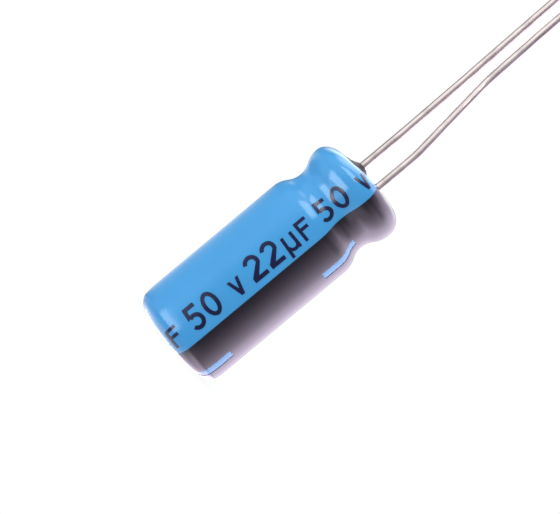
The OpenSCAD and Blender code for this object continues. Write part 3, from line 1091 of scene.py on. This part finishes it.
# The studio seen in the gloss: the angle from the camera's direction towards the stripe's side,
# the brightness at that angle level with the body, and its brightness higher up
STUDIO = np.array((
    (-150, 1.0, 0.25), (-128, 0.7, 0.3), (-112, 0.7, 0.35), (-95, 0.7, 0.9), (-84, 0.75, 1.1),
    (-66, 0.95, 1.1), (-52, 1.1, 1.1), (-42, 0.8, 1.05), (-30, 0.4, 0.7), (-8, 0.28, 0.38),
    (30, 0.3, 0.34), (36, 0.3, 0.38), (48, 0.6, 0.9), (60, 1.2, 1.4), (74, 2.2, 2.2),
    (86, 3.0, 3.0), (98, 3.9, 3.9), (111, 4.8, 4.8), (128, 4.0, 4.0), (150, 2.5, 2.5),
    (168, 1.0, 1.0), (180, 1.0, 0.25),
))

# The windows seen in the gloss: their lowest and highest rise, the softness of these edges, and
# their share of the windows' brightness
WINDOWS = ((30.0, 56.0, 5.0, 1.25), (-60.0, -36.0, 6.0, 0.45), (-38.0, -11.5, 4.0, 1.35))

# The tent's radius and the height of its middle, the card's height, and the floor's radius
TENT_R = 150.0
TENT_Z = 6.4
CARD_Z = -1.0
GROUND_R = 400.0


def soft_box(value, low, high, soft):
    """1 between two limits and 0 outside them, with a smooth edge."""
    return smooth_step((value - low) / soft + 0.5) * smooth_step((high - value) / soft + 0.5)


def stripe_side(angle):
    """1 where an angle from the camera's direction is on the stripe's side, and 0 on the other."""
    return smooth_step((angle - 10.0) / 40.0) * smooth_step((180.0 - angle) / 30.0)


def light_colour(level, angle):
    """Colour of a brightness: white, and on the stripe's side a lilac with less green and more blue."""
    lilac = stripe_side(angle) + 0 * level
    return np.stack((level, level * (1 - 0.14 * lilac), level * (1 + 0.1 * lilac), 1 + 0 * level), axis=-1)


def gloss_only(name, points, faces, colour):
    """A glowing piece of the studio that only the gloss sees, with a colour at each point."""
    material = bpy.data.materials.new(name + "_light")
    material.use_nodes = True
    tree = material.node_tree
    tree.nodes.clear()
    tint = add_node(tree, "ShaderNodeAttribute", attribute_name="light")
    glow = add_node(tree, "ShaderNodeEmission", {"Color": tint.outputs["Color"], "Strength": 1.0})
    add_node(tree, "ShaderNodeOutputMaterial", {"Surface": glow.outputs[0]})
    material.cycles.emission_sampling = "NONE"
    piece = add_piece(name, points, faces, material)
    light = piece.data.attributes.new("light", "FLOAT_COLOR", "POINT")
    light.data.foreach_set("color", colour.reshape(-1))
    for ray in ("camera", "diffuse", "shadow", "transmission"):
        setattr(piece, f"visible_{ray}", False)


def make_tent(window):
    """Round studio tent that only the gloss sees: a ball of soft light and dark about the object.

    A direction is an angle from the camera's, towards the stripe's side, and a rise from level. A
    table gives the level at an angle, low and higher up. The stripe's side is a little darker a
    way up, where the wires' lower lines look, and gets lighter downwards. A window is added above
    and one below, with a paler one under it. Where the climb, the angle up and over from the
    camera's direction, is steep, there is the light behind the leads' end. The foot is bright.
    """
    angle = np.linspace(-180.0, 180.0, 240, endpoint=False)
    rise = np.linspace(-89.0, 89.0, 121)[:, None]
    turn, tilt = np.radians(angle + VIEW_AZIMUTH), np.radians(rise)
    flat_r = TENT_R * np.cos(tilt)
    grid = points_of(flat_r * np.cos(turn), flat_r * np.sin(turn), TENT_R * np.sin(tilt) + TENT_Z)
    low, high = (np.interp(angle, STUDIO[:, 0], STUDIO[:, column], period=360.0) for column in (1, 2))
    away = np.maximum(smooth_step((rise + 1.0) / 6.0), smooth_step((-rise - 7.0) / 6.0))
    level = low + (high - low) * away
    level = level * (1.0 - 0.3 * soft_box(angle, 25.0, 90.0, 20.0) * soft_box(rise, 12.0, 29.0, 8.0))
    side = soft_box(angle, -66.0, -13.0, 10.0)
    for lowest, highest, soft, share in WINDOWS:
        level = level + side * soft_box(rise, lowest, highest, soft) * (share * window - level)
    climb = np.degrees(np.arctan2(np.tan(tilt), np.cos(np.radians(angle))))
    behind = smooth_step((np.abs(angle) - 125.0) / 30.0) * smooth_step((rise - 14.0) / 25.0)
    end_glow = smooth_step((climb - 74.0) / 26.0) * np.maximum(behind, smooth_step((rise - 36.0) / 20.0))
    level = level + end_glow * (3.7 - 0.4 * stripe_side(angle) - level)
    level = level + stripe_side(angle) * smooth_step((-8.0 - rise) / 22.0) * np.maximum(1.6 - level, 0.0)
    level = level + smooth_step((-66.0 - rise) / 20.0) * (3.0 - level)
    gloss_only("studio_tent", grid, closed_faces(grid), light_colour(level, angle))


def make_end_card():
    """Bright card under the closed end, which only the gloss sees: a disc that fades outwards.

    A table on each side gives its level by the distance from the axis.
    """
    angle = np.linspace(-180.0, 180.0, 120, endpoint=False)
    radius = np.linspace(0.2, 7.5, 40)[:, None]
    turn = np.radians(angle + VIEW_AZIMUTH)
    grid = points_of(radius * np.cos(turn), radius * np.sin(turn), CARD_Z)
    plain_side = np.interp(radius, (2.6, 3.2, 4.1, 5.3), (3.2, 1.7, 0.8, 0.7))
    dark_side = np.interp(radius, (3.0, 4.1, 5.3, 7.5), (4.2, 5.6, 4.2, 1.6))
    level = plain_side + (dark_side - plain_side) * stripe_side(angle)
    gloss_only("end_card", grid, round_faces(grid), light_colour(level, angle))


def make_floor():
    """Round floor whose rings get closer, as a square law, towards the object."""
    ring = np.radians(full_turn(96))
    radius = GROUND_R * np.linspace(0.002, 1.0, 24)[:, None] ** 2
    grid = points_of(radius * np.cos(ring), radius * np.sin(ring), 0.0)
    faces = [*map(tuple, round_faces(grid)), tuple(range(96))]
    floor = add_piece("floor", grid, faces, floor_material())


def make_camera(look):
    """The photograph's camera, rolled so that the leads leave to the upper right.

    Its right and up are the capacitor's axis and the direction aside, turned by the roll. Gives
    the point that it looks at.
    """
    azimuth, roll = math.radians(VIEW_AZIMUTH), math.radians(VIEW_ROLL)
    towards = Vector((math.cos(azimuth), math.sin(azimuth), 0.0))
    aside = Vector((-math.sin(azimuth), math.cos(azimuth), 0.0))
    axis = Vector((0.0, 0.0, 1.0))
    right = math.cos(roll) * axis + math.sin(roll) * aside
    up = math.sin(roll) * axis - math.cos(roll) * aside
    centre = VIEW_Z * MM * axis + VIEW_ASIDE * MM * aside
    data = bpy.data.cameras.new("photo_camera")
    data.sensor_fit = "HORIZONTAL"
    data.sensor_width = 36.0
    data.lens = look.lens
    data.clip_start = 0.002
    data.clip_end = 10.0
    camera = bpy.data.objects.new("photo_camera", data)
    bpy.context.scene.collection.objects.link(camera)
    camera.matrix_world = placed((right, up, towards), centre + look.distance * towards)
    bpy.context.scene.camera = camera
    return centre


class MakeStage(Operator):
    """Makes the photograph's camera, the white surround, the gloss's studio, the lamp and the floor."""

    bl_idname = "capacitor.make_stage"
    bl_label = "Make stage"

    def execute(self, context):
        look = settings(context).stage
        context.scene.view_settings.view_transform = "Standard"
        centre = make_camera(look)
        build_world(look.surround)
        make_tent(look.window)
        make_end_card()
        soft_lamp(
            "key_lamp", azimuth=VIEW_AZIMUTH - 60, elevation=30.0, distance=0.16, size=0.12,
            brightness=look.key, centre=centre,
        )
        make_floor()
        return {"FINISHED"}


class CapacitorSettings(PropertyGroup):
    """All settings of the capacitor's looks."""

    sleeve: PointerProperty(type=SleeveSettings, name="Sleeve", description="The shrunk sleeve")
    printing: PointerProperty(type=PrintSettings, name="Printing", description="The stripe and the rating")
    bung: PointerProperty(type=BungSettings, name="Bung", description="The rubber bung")
    metal: PointerProperty(type=MetalSettings, name="Metal", description="Can, tabs, leads and winding")
    stage: PointerProperty(type=StageSettings, name="Stage", description="Camera and light")


MAKERS = (
    MakeSleeve, MakeStripe, MakeRating, MakeCan, MakeBung, MakeLeads, DressTabs, DressWinding, MakeStage,
)
GROUPS = (SleeveSettings, PrintSettings, BungSettings, MetalSettings, StageSettings, CapacitorSettings)


class CapacitorPanel(Panel):
    """Lists the capacitor's operators with the settings that they use."""

    bl_idname = "VIEW3D_PT_capacitor_looks"
    bl_label = "Capacitor"
    bl_space_type = "VIEW_3D"
    bl_region_type = "UI"
    bl_category = "Capacitor"

    def draw(self, context):
        look = settings(context)
        parts = (look.sleeve, look.printing, look.bung, look.metal, look.stage)
        for part in parts:
            box = self.layout.box()
            for setting in part.bl_rna.properties:
                if setting.identifier not in ("rna_type", "name"):
                    box.prop(part, setting.identifier)
        for maker in MAKERS:
            self.layout.operator(maker.bl_idname)


CLASSES = GROUPS + MAKERS + (CapacitorPanel,)


def register():
    """Registers the classes, and the settings on the scene."""
    for each in CLASSES:
        bpy.utils.register_class(each)
    bpy.types.Scene.capacitor_looks = PointerProperty(type=CapacitorSettings)


def unregister():
    """Takes the settings and the classes away again."""
    del bpy.types.Scene.capacitor_looks
    for each in reversed(CLASSES):
        bpy.utils.unregister_class(each)


def main():
    register()
    bpy.ops.capacitor.make_sleeve()
    bpy.ops.capacitor.make_stripe()
    bpy.ops.capacitor.make_rating()
    bpy.ops.capacitor.make_can()
    bpy.ops.capacitor.make_bung()
    bpy.ops.capacitor.make_leads()
    bpy.ops.capacitor.dress_tabs()
    bpy.ops.capacitor.dress_winding()
    bpy.ops.capacitor.make_stage()


if __name__ == "__main__":
    main()
